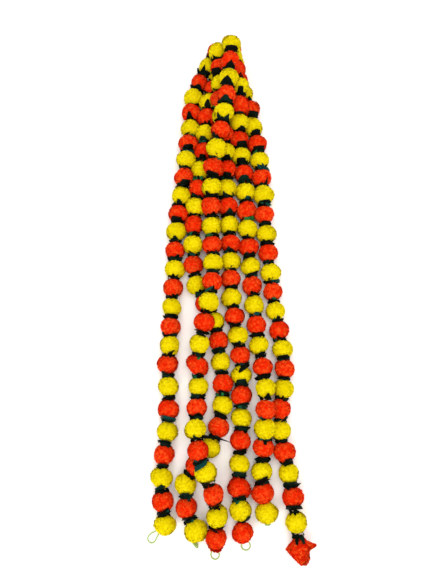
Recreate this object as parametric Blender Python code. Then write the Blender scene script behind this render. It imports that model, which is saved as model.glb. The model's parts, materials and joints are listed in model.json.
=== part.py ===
"""Marigold garland: six strung strands of pom-pom blooms, laid down with their top ends tied together.

Metres, +Z up. The strands run along Y, from the tied end (+Y) to the loose ends (-Y), and rest on Z = 0.
Every strand is one string with 26 blooms, yellow and orange by turns, and a leaf collar between blooms.
"""

import math

import bmesh
import bpy
import numpy as np

# ---------------------------------------------------------------- driving dimensions
BLOOMS = 26                # blooms on each strand
BLOOM_RADIUS = 0.0265      # bloom, across the string
SNUG_RADIUS = 0.0233       # bloom pressed smaller in the tied end
SNUG_BLOOMS = 3            # blooms of a strand that are pressed
FREE_STRAND = 3            # the strand on top of the pile, which nothing presses
BLOOM_HALF_LENGTH = 0.0245  # bloom, along the string
PETAL_DIP = 0.86           # radius between the petal tufts, as a share of the tufts' radius
SIDES = 8                  # tufts and dips round a bloom
RING_ANGLES = (28.0, 70.0, 110.0, 152.0)   # degrees from the bloom's near pole to each ring
FLOOR_PRESS = 0.0035       # what lies lower than this is pressed flat on the surface
LYING_HEIGHT = 0.0225      # string's height in a bloom that lies on the surface
OPENED_POINT = 0.024       # how far the flattened last bloom of strand 6 is drawn out along it
OPENED_HORN = 0.020        # and to one side

LEAF_TIP = (0.0150, 0.0200)    # reach of the leaf tips from the string
LEAF_NOTCH = (0.0080, 0.0095)  # the notches between them
LEAF_SWAY = 0.0030             # a collar's shift along the string, either way
LEAF_SEED = 7

STRING_RADIUS = 0.0013     # string in the blooms
BORE_RADIUS = 0.0024       # hole that the string runs in, to its corners
LOOP_RADIUS = 0.0016       # string of the end loops
GAP = 0.0004               # room between two nodes that meet
RUNS = (4, 3, 3, 3, 3, 3, 3, 4)    # blooms in each node of a strand

TIE_CENTRE = (-0.001, 0.777, 0.0090)
TIE_RADIUS = 0.0066        # to the middle of the tie's cord
TIE_CORD = 0.0014
TIE_SLOT_RADIUS = 0.0035   # the six strings stand on this circle in the tie
TIE_SLOTS = {1: 210, 2: 270, 3: 90, 4: 150, 5: 30, 6: -30}   # degrees round the tie
TAIL = 0.010               # string past the tie

FIRST_COLOUR = {1: "orange", 2: "orange", 3: "yellow", 4: "yellow", 5: "orange", 6: "yellow"}

# Where each strand lies: the number of a bloom and the place of its centre. The blooms between
# follow the smooth curve through these.
ROUTES = {
    1: {
        1: (-0.045, 0.706, 0.050), 2: (-0.072, 0.660, 0.036), 3: (-0.097, 0.609, 0.026),
        4: (-0.115, 0.556, 0.023), 5: (-0.120, 0.501, 0.024), 8: (-0.135, 0.340, 0.034),
        10: (-0.149, 0.228, 0.026), 11: (-0.157, 0.170, 0.023), 12: (-0.163, 0.115, 0.023),
        14: (-0.165, 0.001, 0.023), 15: (-0.169, -0.055, 0.024), 17: (-0.172, -0.170, 0.023),
        19: (-0.178, -0.276, 0.024), 20: (-0.176, -0.336, 0.024), 22: (-0.177, -0.457, 0.024),
        23: (-0.185, -0.516, 0.025), 24: (-0.189, -0.576, 0.025), 25: (-0.184, -0.634, 0.025),
        26: (-0.178, -0.691, 0.025),
    },
    2: {
        1: (-0.026, 0.675, 0.023), 2: (-0.038, 0.628, 0.030), 3: (-0.055, 0.580, 0.037),
        5: (-0.072, 0.479, 0.040), 8: (-0.089, 0.307, 0.032), 9: (-0.098, 0.248, 0.028),
        11: (-0.109, 0.133, 0.030), 13: (-0.109, 0.012, 0.026), 14: (-0.100, -0.048, 0.023),
        16: (-0.049, -0.153, 0.023), 17: (-0.036, -0.209, 0.023), 18: (-0.031, -0.269, 0.024),
        19: (-0.024, -0.328, 0.025), 20: (-0.026, -0.387, 0.024), 22: (-0.060, -0.498, 0.023),
        23: (-0.097, -0.545, 0.023), 24: (-0.125, -0.592, 0.023), 25: (-0.123, -0.650, 0.024),
        26: (-0.099, -0.706, 0.023),
    },
    3: {
        1: (0.003, 0.670, 0.122), 2: (-0.001, 0.613, 0.125), 3: (-0.007, 0.559, 0.124),
        5: (-0.020, 0.453, 0.115), 8: (-0.051, 0.297, 0.075), 11: (-0.056, 0.126, 0.040),
        12: (-0.054, 0.067, 0.041), 14: (-0.055, -0.047, 0.066), 15: (-0.063, -0.105, 0.074),
        17: (-0.089, -0.220, 0.051), 18: (-0.095, -0.278, 0.035), 19: (-0.093, -0.336, 0.027),
        20: (-0.096, -0.393, 0.033), 22: (-0.091, -0.503, 0.065), 23: (-0.070, -0.556, 0.066),
        25: (-0.042, -0.669, 0.038), 26: (-0.043, -0.724, 0.024),
    },
    4: {
        1: (-0.040, 0.676, 0.084), 3: (-0.032, 0.570, 0.079), 5: (-0.027, 0.467, 0.065),
        8: (-0.013, 0.306, 0.036), 9: (-0.012, 0.250, 0.029), 11: (-0.004, 0.136, 0.023),
        12: (-0.001, 0.079, 0.023), 14: (-0.002, -0.029, 0.024), 16: (0.008, -0.140, 0.024),
        17: (0.018, -0.195, 0.023), 19: (0.027, -0.305, 0.023), 20: (0.027, -0.360, 0.023),
        23: (0.019, -0.540, 0.026), 24: (0.017, -0.598, 0.026), 26: (0.026, -0.710, 0.025),
    },
    5: {
        1: (0.009, 0.719, 0.048), 2: (0.014, 0.672, 0.070), 3: (0.019, 0.620, 0.080),
        5: (0.029, 0.507, 0.066), 7: (0.025, 0.406, 0.033), 8: (0.033, 0.355, 0.025),
        9: (0.041, 0.300, 0.024), 11: (0.047, 0.179, 0.023), 13: (0.053, 0.068, 0.023),
        14: (0.056, 0.009, 0.023), 17: (0.071, -0.164, 0.023), 19: (0.085, -0.282, 0.034),
        20: (0.091, -0.341, 0.047), 21: (0.091, -0.397, 0.055), 22: (0.086, -0.447, 0.047),
        23: (0.083, -0.497, 0.036), 24: (0.078, -0.557, 0.030), 25: (0.081, -0.612, 0.028),
        26: (0.090, -0.662, 0.023),
    },
    6: {
        1: (0.019, 0.677, 0.027), 2: (0.030, 0.623, 0.024), 3: (0.047, 0.570, 0.024),
        4: (0.060, 0.514, 0.024), 5: (0.072, 0.455, 0.023), 8: (0.095, 0.285, 0.026),
        9: (0.098, 0.227, 0.027), 11: (0.106, 0.107, 0.024), 14: (0.120, -0.067, 0.023),
        16: (0.135, -0.180, 0.023), 17: (0.143, -0.232, 0.023), 19: (0.143, -0.342, 0.023),
        20: (0.132, -0.396, 0.023), 22: (0.140, -0.509, 0.023), 23: (0.151, -0.564, 0.023),
        25: (0.166, -0.684, 0.027), 26: (0.173, -0.742, 0.029),
    },
}

# The string from the tie to each strand's first bloom
TOP_ROUTES = {
    1: [(-0.024, 0.760, 0.018), (-0.038, 0.741, 0.036)],
    2: [(-0.008, 0.752, 0.009), (-0.018, 0.727, 0.017)],
    3: [(0.002, 0.756, 0.052), (0.003, 0.728, 0.092)],
    4: [(-0.012, 0.756, 0.036), (-0.029, 0.718, 0.074)],
    5: [(0.002, 0.764, 0.020), (0.005, 0.752, 0.031)],
    6: [(0.006, 0.754, 0.009), (0.016, 0.724, 0.020)],
}

# The loop of string at each loose end, out of the last bloom and back to it
END_LOOPS = {
    1: [(-0.1971, -0.7042, 0.0190), (-0.2040, -0.7097, 0.0125), (-0.2161, -0.7174, 0.0045),
        (-0.2239, -0.7264, 0.0018), (-0.2231, -0.7352, 0.0018), (-0.2145, -0.7408, 0.0018),
        (-0.2056, -0.7369, 0.0018), (-0.2009, -0.7282, 0.0035), (-0.1957, -0.7187, 0.0095),
        (-0.1904, -0.7104, 0.0165)],
    2: [(-0.1082, -0.7323, 0.0163), (-0.1031, -0.7391, 0.0156), (-0.0976, -0.7462, 0.0146),
        (-0.0943, -0.7497, 0.0128), (-0.0918, -0.7503, 0.0083), (-0.0916, -0.7478, 0.0038),
        (-0.0938, -0.7436, 0.0020), (-0.0995, -0.7366, 0.0036), (-0.1044, -0.7315, 0.0064)],
    3: [(-0.0521, -0.7521, 0.0190), (-0.0558, -0.7604, 0.0105), (-0.0574, -0.7692, 0.0032),
        (-0.0548, -0.7763, 0.0018), (-0.0469, -0.7804, 0.0018), (-0.0388, -0.7777, 0.0018),
        (-0.0353, -0.7701, 0.0032), (-0.0372, -0.7609, 0.0105), (-0.0414, -0.7526, 0.0190)],
    4: [(0.0272, -0.7334, 0.0200), (0.0233, -0.7409, 0.0115), (0.0231, -0.7499, 0.0032),
        (0.0276, -0.7563, 0.0018), (0.0355, -0.7584, 0.0018), (0.0434, -0.7548, 0.0018),
        (0.0463, -0.7476, 0.0035), (0.0441, -0.7390, 0.0115), (0.0392, -0.7322, 0.0200)],
    5: [(0.0862, -0.6846, 0.0133), (0.0862, -0.6876, 0.0126), (0.0862, -0.6900, 0.0108),
        (0.0862, -0.6932, 0.0069), (0.0882, -0.6962, 0.0033), (0.0929, -0.6975, 0.0018),
        (0.0976, -0.6962, 0.0033), (0.0996, -0.6932, 0.0069), (0.0996, -0.6900, 0.0108),
        (0.0996, -0.6876, 0.0126), (0.0996, -0.6846, 0.0133)],
}

COLOURS = {
    "yellow": (0.87, 0.66, 0.01),
    "orange": (0.91, 0.08, 0.01),
    "leaf": (0.006, 0.030, 0.018),
    "string": (0.50, 0.62, 0.30),
}
ROUGHNESS = {"yellow": 0.85, "orange": 0.85, "leaf": 0.45, "string": 0.6}


def clear_scene():
    """Empty the scene that the script runs in."""
    for item in list(bpy.data.objects):
        bpy.data.objects.remove(item, do_unlink=True)


def make_materials():
    """One Principled material for each colour of the garland."""
    made = {}
    for name, colour in COLOURS.items():
        material = bpy.data.materials.new("garland_" + name)
        material.use_nodes = True
        shader = material.node_tree.nodes["Principled BSDF"]
        shader.inputs["Base Color"].default_value = (*colour, 1.0)
        shader.inputs["Roughness"].default_value = ROUGHNESS[name]
        shader.inputs["Metallic"].default_value = 0.0
        made[name] = material
    return made


def smooth_curve(places):
    """Natural cubic spline through {bloom number: place}; returns a function of the bloom number."""
    knots = np.array(sorted(places), float)
    points = np.array([places[int(k)] for k in knots])
    steps = np.diff(knots)
    count = len(knots)
    matrix = np.eye(count)
    right = np.zeros((count, 3))
    for i in range(1, count - 1):
        matrix[i, i - 1:i + 2] = steps[i - 1], 2 * (steps[i - 1] + steps[i]), steps[i]
        slope_after = (points[i + 1] - points[i]) / steps[i]
        slope_before = (points[i] - points[i - 1]) / steps[i - 1]
        right[i] = 6 * (slope_after - slope_before)
    bend = np.linalg.solve(matrix, right)

    def place(number):
        i = int(np.clip(np.searchsorted(knots, number) - 1, 0, count - 2))
        before = (knots[i + 1] - number) / steps[i]
        after = (number - knots[i]) / steps[i]
        curve = (before ** 3 - before) * bend[i] + (after ** 3 - after) * bend[i + 1]
        return before * points[i] + after * points[i + 1] + curve * steps[i] ** 2 / 6

    return place


def unit(vector):
    """The vector at length one."""
    return vector / np.linalg.norm(vector)


class Frame:
    """A place on a string, with the directions along it, level to the side, and up."""

    def __init__(self, centre, along):
        self.centre = centre
        self.along = unit(along)
        self.side = unit(np.cross(self.along, (0.0, 0.0, 1.0)))
        self.up = np.cross(self.side, self.along)

    def at(self, along, side, up):
        """The point that lies this far along, to the side and up."""
        return self.centre + along * self.along + side * self.side + up * self.up


def lay_strand(strand):
    """Frames of a strand's blooms, and the string's bends between them."""
    place = smooth_curve(ROUTES[strand])
    numbers = range(1, BLOOMS + 1)
    centres = np.array([place(n) for n in numbers])
    centres[:, 2] = np.maximum(centres[:, 2], LYING_HEIGHT)
    ways = np.gradient(centres, axis=0)
    frames = [Frame(c, w) for c, w in zip(centres, ways)]
    reach = np.linalg.norm(centres[1] - centres[0]) / 2
    bends = [frames[0].at(-reach, 0, 0)]
    bends += [(a + b) / 2 for a, b in zip(centres[:-1], centres[1:])]
    bends += [frames[-1].at(reach, 0, 0)]
    return frames, bends


def bloom_radius(strand, number):
    """Full size, or smaller where the tied end presses the bloom."""
    pressed = number <= SNUG_BLOOMS and strand != FREE_STRAND
    return SNUG_RADIUS if pressed else BLOOM_RADIUS


def on_surface(point):
    """Nothing goes below the surface, and what nearly touches it is pressed flat."""
    x, y, z = point
    return (x, y, 0.0 if z < FLOOR_PRESS else z)


def ring_directions():
    """Cosine and sine of each corner; the lowest two corners make a level edge."""
    turn = 2 * math.pi / SIDES
    return [(math.cos(turn * (j + 0.5)), math.sin(turn * (j + 0.5))) for j in range(SIDES)]


def bloom_rings(frame, radius, opened):
    """Rings of a bloom: tufts stand at every second corner, and step round from ring to ring."""
    rings = []
    for row, degrees in enumerate(RING_ANGLES):
        along = -BLOOM_HALF_LENGTH * math.cos(math.radians(degrees))
        across = radius * math.sin(math.radians(degrees))
        ring = []
        for j, (c, s) in enumerate(ring_directions()):
            reach = across if (row + j) % 2 == 0 else across * PETAL_DIP
            corner = (along, reach * c, reach * s)
            if opened:
                corner = opened_flat(row, *corner)
            ring.append(on_surface(frame.at(*corner)))
        rings.append(ring)
    return rings


def opened_flat(row, along, side, up):
    """The last bloom of strand 6 has come open: a broad flat kite with a point and a side horn."""
    if row == 1:
        return along, side * 1.30, up * 0.80
    if row == 2:
        horn = OPENED_HORN if side < -0.020 else 0.0
        return along + 0.004, side * 1.35 - horn, up * 0.70
    if row == 3:
        return along + OPENED_POINT, side * 0.60 - 0.002, up * 0.60
    return along, side, up


def collar_ring(frame, shift, draw):
    """A star of leaf tips round the string, at alternate corners."""
    ring = []
    for j, (c, s) in enumerate(ring_directions()):
        reach = draw.uniform(*(LEAF_TIP if j % 2 == 0 else LEAF_NOTCH))
        x, y, z = frame.at(shift, reach * c, reach * s)
        ring.append((x, y, max(z, 0.0006)))
    return ring


def cut_plane(start, end, frame, shift):
    """Where the string from start to end passes the plane that lies this far along the frame."""
    middle = frame.at(shift, 0, 0)
    share = np.dot(middle - start, frame.along) / np.dot(end - start, frame.along)
    return start + share * (end - start)


def bore_ring(centre, along):
    """Four corners of the string's hole."""
    frame = Frame(centre, along)
    corners = [math.radians(45 + 90 * k) for k in range(4)]
    return [tuple(frame.at(0, BORE_RADIUS * math.cos(a), BORE_RADIUS * math.sin(a))) for a in corners]


def loft_petals(mesh, first, second, row, slot):
    """Faces between two rings of a bloom; each tuft is the peak of the triangles round it."""
    for j in range(SIDES):
        k = (j + 1) % SIDES
        corners = (first[j], first[k], second[k], second[j])
        if (row + j) % 2 == 0:
            faces = ((corners[0], corners[1], corners[3]), (corners[1], corners[2], corners[3]))
        else:
            faces = ((corners[0], corners[1], corners[2]), (corners[0], corners[2], corners[3]))
        for face in faces:
            mesh.faces.new(face).material_index = slot


def loft_leaves(mesh, ring, star, slot):
    """Faces between a bloom's end ring and a collar; each fold runs out to a leaf tip."""
    for j in range(SIDES):
        k = (j + 1) % SIDES
        tip_first = j % 2 == 0
        low = star[j] if tip_first else star[k]
        mesh.faces.new((ring[j], ring[k], low)).material_index = slot
        rest = (star[j], star[k], ring[k]) if tip_first else (star[j], star[k], ring[j])
        mesh.faces.new(rest).material_index = slot


def loft_bore(mesh, rings, slot):
    """Wall of the string's hole."""
    for first, second in zip(rings[:-1], rings[1:]):
        for j in range(4):
            k = (j + 1) % 4
            mesh.faces.new((first[j], first[k], second[k])).material_index = slot
            mesh.faces.new((first[j], second[k], second[j])).material_index = slot


def cap_end(mesh, outer, inner, slot):
    """Flat end between the outside and the string's hole."""
    for k in range(4):
        a, b, c = outer[2 * k], outer[2 * k + 1], outer[(2 * k + 2) % SIDES]
        hole, following = inner[k], inner[(k + 1) % 4]
        for face in ((a, b, hole), (b, following, hole), (b, c, following)):
            mesh.faces.new(face).material_index = slot


def make_run(strand, run, numbers, frames, bends, draw, materials, parts):
    """Some neighbouring blooms of a strand and the collars after them, as one bored solid."""
    mesh = bmesh.new()

    def corners(ring):
        return [mesh.verts.new(point) for point in ring]

    near_pole = -BLOOM_HALF_LENGTH * math.cos(math.radians(RING_ANGLES[0]))
    first, last = numbers[0], numbers[-1]
    start = cut_plane(bends[first - 1], bends[first], frames[first - 1], near_pole)
    bore = [corners(bore_ring(start, bends[first] - bends[first - 1]))]
    previous = None
    for number in numbers:
        frame = frames[number - 1]
        opened = strand == 6 and number == BLOOMS
        rings = [corners(r) for r in bloom_rings(frame, bloom_radius(strand, number), opened)]
        yellow = (FIRST_COLOUR[strand] == "yellow") == (number % 2 == 1)
        petals = 0 if yellow else 1
        if previous is None:
            cap_end(mesh, rings[0], bore[0], petals)
        else:
            loft_leaves(mesh, rings[0], previous, 2)
        for row in range(len(rings) - 1):
            loft_petals(mesh, rings[row], rings[row + 1], row, petals)
        outer = rings[-1]
        if number < BLOOMS:
            following = frames[number]
            if number < last:
                middle = Frame(bends[number], frame.along + following.along)
                star = corners(collar_ring(middle, draw.uniform(-LEAF_SWAY, LEAF_SWAY), draw))
            else:
                star = corners(collar_ring(following, near_pole - GAP, draw))
            loft_leaves(mesh, outer, star, 2)
            bore.append(corners(bore_ring(bends[number], bends[number + 1] - bends[number - 1])))
            previous = star
            outer = star
    if last < BLOOMS:
        end = cut_plane(bends[last], bends[last + 1], frames[last], near_pole - GAP)
        bore.append(corners(bore_ring(end, bends[last + 1] - bends[last])))
        cap_end(mesh, outer, bore[-1], 2)
    else:
        far_pole = BLOOM_HALF_LENGTH * math.cos(math.radians(RING_ANGLES[0]))
        if strand == 6:
            far_pole += OPENED_POINT
        end = cut_plane(bends[last - 1], bends[last], frames[last - 1], far_pole)
        bore.append(corners(bore_ring(end, bends[last] - bends[last - 1])))
        cap_end(mesh, outer, bore[-1], petals)
    loft_bore(mesh, bore, 2)
    bmesh.ops.recalc_face_normals(mesh, faces=mesh.faces)

    name = f"strand_{strand}_run_{run}"
    data = bpy.data.meshes.new(name)
    mesh.to_mesh(data)
    mesh.free()
    for colour in ("yellow", "orange", "leaf"):
        data.materials.append(materials[colour])
    parts.objects.link(bpy.data.objects.new(name, data))


def through_points(points, spacing):
    """Points at even spacing along a smooth curve through the given points."""
    place = smooth_curve(dict(enumerate(np.array(points, float))))
    fine = np.array([place(t) for t in np.linspace(0, len(points) - 1, 40 * len(points))])
    lengths = np.concatenate([[0.0], np.cumsum(np.linalg.norm(np.diff(fine, axis=0), axis=1))])
    marks = np.linspace(0, lengths[-1], max(2, round(lengths[-1] / spacing)) + 1)
    return np.stack([np.interp(marks, lengths, fine[:, axis]) for axis in range(3)], axis=1)


def make_cord(name, points, radius, bevel_resolution, material, parts):
    """A string along the points: a poly curve with a round section and closed ends."""
    data = bpy.data.curves.new(name, "CURVE")
    data.dimensions = "3D"
    data.bevel_depth = radius
    data.bevel_resolution = bevel_resolution
    data.use_fill_caps = True
    spline = data.splines.new("POLY")
    spline.points.add(len(points) - 1)
    for target, (x, y, z) in zip(spline.points, points):
        target.co = (x, y, z, 1.0)
    data.materials.append(material)
    parts.objects.link(bpy.data.objects.new(name, data))


def make_string(strand, frames, bends, material, parts):
    """The string of a strand: from its tail in the tie, through every bloom, to its loose end."""
    turn = math.radians(TIE_SLOTS[strand])
    slot = np.array(TIE_CENTRE) + TIE_SLOT_RADIUS * np.array([math.cos(turn), 0.0, math.sin(turn)])
    tail = slot + np.array([0.0, TAIL, 0.0])
    before = slot - np.array([0.0, 0.004, 0.0])
    way_in = through_points([tail, slot, before, *TOP_ROUTES[strand], bends[0]], 0.008)
    last = frames[-1].at(BLOOM_HALF_LENGTH * 0.5, 0, 0)
    middle = bends[-2]
    share = np.linalg.norm(last - middle) / np.linalg.norm(bends[-1] - middle)
    stop = middle + share * (bends[-1] - middle)
    points = [*way_in, *bends[1:-1], stop]
    make_cord(f"strand_{strand}_string", points, STRING_RADIUS, 0, material, parts)


def make_tie(material, parts):
    """The ring of cord that holds the six strings together."""
    bpy.ops.mesh.primitive_torus_add(
        major_segments=12, minor_segments=6, major_radius=TIE_RADIUS, minor_radius=TIE_CORD,
        location=TIE_CENTRE, rotation=(math.radians(90), 0.0, 0.0))
    ring = bpy.context.object
    ring.name = "top_tie"
    ring.data.materials.append(material)
    for owner in list(ring.users_collection):
        owner.objects.unlink(ring)
    parts.objects.link(ring)


def main():
    """Build the garland."""
    clear_scene()
    parts = bpy.data.collections.new("marigold_garland")
    bpy.context.scene.collection.children.link(parts)
    materials = make_materials()
    for strand in ROUTES:
        frames, bends = lay_strand(strand)
        draw = np.random.default_rng(LEAF_SEED + strand)
        first = 1
        for run, count in enumerate(RUNS, start=1):
            numbers = list(range(first, first + count))
            make_run(strand, run, numbers, frames, bends, draw, materials, parts)
            first += count
        make_string(strand, frames, bends, materials["string"], parts)
    for strand, points in END_LOOPS.items():
        way = through_points(points, 0.0055)
        make_cord(f"strand_{strand}_end_loop", way, LOOP_RADIUS, 2, materials["string"], parts)
    make_tie(materials["string"], parts)


main()
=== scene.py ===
# %% [markdown]
# # A marigold garland, dressed
# Six strings of pom-pom marigolds lie in a bundle, gathered at one end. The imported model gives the
# place of every bloom, and this lesson gives each one its petals, each gap its leaves, and the
# string its twist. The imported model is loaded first, because every piece stands for some of its
# nodes.

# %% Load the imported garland
import json
import math

import bpy
import numpy as np
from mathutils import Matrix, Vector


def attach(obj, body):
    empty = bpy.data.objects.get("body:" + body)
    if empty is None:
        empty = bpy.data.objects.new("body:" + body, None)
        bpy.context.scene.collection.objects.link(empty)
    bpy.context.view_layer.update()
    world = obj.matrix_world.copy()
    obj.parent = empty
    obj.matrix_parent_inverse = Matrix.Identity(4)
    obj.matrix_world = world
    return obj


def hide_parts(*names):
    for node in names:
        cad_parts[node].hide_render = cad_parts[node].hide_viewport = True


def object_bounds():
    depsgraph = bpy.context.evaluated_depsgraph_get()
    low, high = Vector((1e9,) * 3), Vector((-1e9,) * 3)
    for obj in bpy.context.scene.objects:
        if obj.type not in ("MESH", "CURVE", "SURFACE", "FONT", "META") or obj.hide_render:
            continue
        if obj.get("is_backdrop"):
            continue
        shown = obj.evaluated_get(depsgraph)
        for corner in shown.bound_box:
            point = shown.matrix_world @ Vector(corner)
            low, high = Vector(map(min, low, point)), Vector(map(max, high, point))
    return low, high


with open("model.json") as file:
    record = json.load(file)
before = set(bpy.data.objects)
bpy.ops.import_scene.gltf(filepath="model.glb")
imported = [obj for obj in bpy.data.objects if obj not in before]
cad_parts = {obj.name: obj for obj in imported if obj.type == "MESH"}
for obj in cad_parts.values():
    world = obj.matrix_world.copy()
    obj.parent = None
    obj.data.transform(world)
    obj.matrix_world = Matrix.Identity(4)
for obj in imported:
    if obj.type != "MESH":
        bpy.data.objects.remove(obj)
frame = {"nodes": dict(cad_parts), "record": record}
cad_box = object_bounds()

print("packed nodes:", len(frame["nodes"]))

# %% [markdown]
# ## Where the camera stands
# The garland is long and thin, so the camera looks down on it from high up, a little to the side of
# the loose ends. It is made before the pieces, because the free loops of string are checked against
# its view.

# %% Camera
CAMERA_PLACE = (-0.044, -0.372, 1.435)
CAMERA_TILT = 12.5                   # degrees away from straight down
LENS, SENSOR_WIDTH = 31.14, 36.0     # mm

camera_data = bpy.data.cameras.new("camera")
camera_data.sensor_width = SENSOR_WIDTH
camera_data.lens = LENS
camera_data.clip_end = 20.0
camera = bpy.data.objects.new("camera", camera_data)
camera.location = CAMERA_PLACE
camera.rotation_euler = (math.radians(CAMERA_TILT), 0.0, 0.0)
bpy.context.scene.collection.objects.link(camera)
bpy.context.scene.camera = camera
print("camera height:", camera.location.z)

# %% [markdown]
# ## The lie of the strands
# A strand is described by a few places on its way: the number of a bloom, and where its centre is.
# A natural cubic spline through them gives all 26 centres, as a limp string would lie in one easy
# line. These are the same places, in metres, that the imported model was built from.

# %% Places on each strand
BLOOMS = 26                # on each strand
SNUG_BLOOMS = 3            # blooms of a strand that the tied end presses
FREE_STRAND = 3            # the strand on top, which nothing presses
BLOOM_HALF_LENGTH = 0.0245 # of a packed bloom, along the string
LYING_HEIGHT = 0.0225      # of the string in a bloom that lies on the surface
FIRST_COLOUR = {1: "orange", 2: "orange", 3: "yellow", 4: "yellow", 5: "orange", 6: "yellow"}

ROUTES = {
    1: {
        1: (-0.045, 0.706, 0.050), 2: (-0.072, 0.660, 0.036), 3: (-0.097, 0.609, 0.026),
        4: (-0.115, 0.556, 0.023), 5: (-0.120, 0.501, 0.024), 8: (-0.135, 0.340, 0.034),
        10: (-0.149, 0.228, 0.026), 11: (-0.157, 0.170, 0.023), 12: (-0.163, 0.115, 0.023),
        14: (-0.165, 0.001, 0.023), 15: (-0.169, -0.055, 0.024), 17: (-0.172, -0.170, 0.023),
        19: (-0.178, -0.276, 0.024), 20: (-0.176, -0.336, 0.024), 22: (-0.177, -0.457, 0.024),
        23: (-0.185, -0.516, 0.025), 24: (-0.189, -0.576, 0.025), 25: (-0.184, -0.634, 0.025),
        26: (-0.178, -0.691, 0.025),
    },
    2: {
        1: (-0.026, 0.675, 0.023), 2: (-0.038, 0.628, 0.030), 3: (-0.055, 0.580, 0.037),
        5: (-0.072, 0.479, 0.040), 8: (-0.089, 0.307, 0.032), 9: (-0.098, 0.248, 0.028),
        11: (-0.109, 0.133, 0.030), 13: (-0.109, 0.012, 0.026), 14: (-0.100, -0.048, 0.023),
        16: (-0.049, -0.153, 0.023), 17: (-0.036, -0.209, 0.023), 18: (-0.031, -0.269, 0.024),
        19: (-0.024, -0.328, 0.025), 20: (-0.026, -0.387, 0.024), 22: (-0.060, -0.498, 0.023),
        23: (-0.097, -0.545, 0.023), 24: (-0.125, -0.592, 0.023), 25: (-0.123, -0.650, 0.024),
        26: (-0.099, -0.706, 0.023),
    },
    3: {
        1: (0.003, 0.670, 0.122), 2: (-0.001, 0.613, 0.125), 3: (-0.007, 0.559, 0.124),
        5: (-0.020, 0.453, 0.115), 8: (-0.051, 0.297, 0.075), 11: (-0.056, 0.126, 0.040),
        12: (-0.054, 0.067, 0.041), 14: (-0.055, -0.047, 0.066), 15: (-0.063, -0.105, 0.074),
        17: (-0.089, -0.220, 0.051), 18: (-0.095, -0.278, 0.035), 19: (-0.093, -0.336, 0.027),
        20: (-0.096, -0.393, 0.033), 22: (-0.091, -0.503, 0.065), 23: (-0.070, -0.556, 0.066),
        25: (-0.042, -0.669, 0.038), 26: (-0.043, -0.724, 0.024),
    },
    4: {
        1: (-0.040, 0.676, 0.084), 3: (-0.032, 0.570, 0.079), 5: (-0.027, 0.467, 0.065),
        8: (-0.013, 0.306, 0.036), 9: (-0.012, 0.250, 0.029), 11: (-0.004, 0.136, 0.023),
        12: (-0.001, 0.079, 0.023), 14: (-0.002, -0.029, 0.024), 16: (0.008, -0.140, 0.024),
        17: (0.018, -0.195, 0.023), 19: (0.027, -0.305, 0.023), 20: (0.027, -0.360, 0.023),
        23: (0.019, -0.540, 0.026), 24: (0.017, -0.598, 0.026), 26: (0.026, -0.710, 0.025),
    },
    5: {
        1: (0.009, 0.719, 0.048), 2: (0.014, 0.672, 0.070), 3: (0.019, 0.620, 0.080),
        5: (0.029, 0.507, 0.066), 7: (0.025, 0.406, 0.033), 8: (0.033, 0.355, 0.025),
        9: (0.041, 0.300, 0.024), 11: (0.047, 0.179, 0.023), 13: (0.053, 0.068, 0.023),
        14: (0.056, 0.009, 0.023), 17: (0.071, -0.164, 0.023), 19: (0.085, -0.282, 0.034),
        20: (0.091, -0.341, 0.047), 21: (0.091, -0.397, 0.055), 22: (0.086, -0.447, 0.047),
        23: (0.083, -0.497, 0.036), 24: (0.078, -0.557, 0.030), 25: (0.081, -0.612, 0.028),
        26: (0.090, -0.662, 0.023),
    },
    6: {
        1: (0.019, 0.677, 0.027), 2: (0.030, 0.623, 0.024), 3: (0.047, 0.570, 0.024),
        4: (0.060, 0.514, 0.024), 5: (0.072, 0.455, 0.023), 8: (0.095, 0.285, 0.026),
        9: (0.098, 0.227, 0.027), 11: (0.106, 0.107, 0.024), 14: (0.120, -0.067, 0.023),
        16: (0.135, -0.180, 0.023), 17: (0.143, -0.232, 0.023), 19: (0.143, -0.342, 0.023),
        20: (0.132, -0.396, 0.023), 22: (0.140, -0.509, 0.023), 23: (0.151, -0.564, 0.023),
        25: (0.166, -0.684, 0.027), 26: (0.173, -0.742, 0.029),
    },
}
print("strands:", len(ROUTES), "blooms:", len(ROUTES) * BLOOMS)


# %% From places to frames
def spline(knots, points, at):
    """Natural cubic spline. Between two knots the place is the straight mix of both points, plus,
    for each of the two, its bend times its share cubed less its share, times a sixth of the step
    squared. The bends are zero at both ends of the line, and chosen so that the slope never
    jumps."""
    knots, points, at = (np.asarray(v, float) for v in (knots, points, at))
    steps = np.diff(knots)
    slopes = np.diff(points, axis=0) / steps[:, None]
    system = np.diag(np.r_[1.0, 2 * (steps[:-1] + steps[1:]), 1.0])
    system += np.diag(np.r_[steps[:-1], 0.0], -1) + np.diag(np.r_[0.0, steps[1:]], 1)
    ends = np.zeros((1, points.shape[1]))
    bend = np.linalg.solve(system, np.vstack([ends, 6 * np.diff(slopes, axis=0), ends]))
    i = np.clip(np.searchsorted(knots, at) - 1, 0, len(knots) - 2)
    step = steps[i][:, None]
    before = (knots[i + 1] - at)[:, None] / step
    after = 1 - before
    curve = (before ** 3 - before) * bend[i] + (after ** 3 - after) * bend[i + 1]
    return before * points[i] + after * points[i + 1] + curve * step ** 2 / 6


def unit(vectors):
    """Every vector at length one."""
    return vectors / np.linalg.norm(vectors, axis=-1, keepdims=True)


def axes_along(ways):
    """Rows along, side and up: side is along crossed with the vertical, and up is side crossed with
    along."""
    along = unit(ways)
    side = unit(np.cross(along, (0.0, 0.0, 1.0)))
    return np.stack([along, side, np.cross(side, along)], axis=-2)


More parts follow.
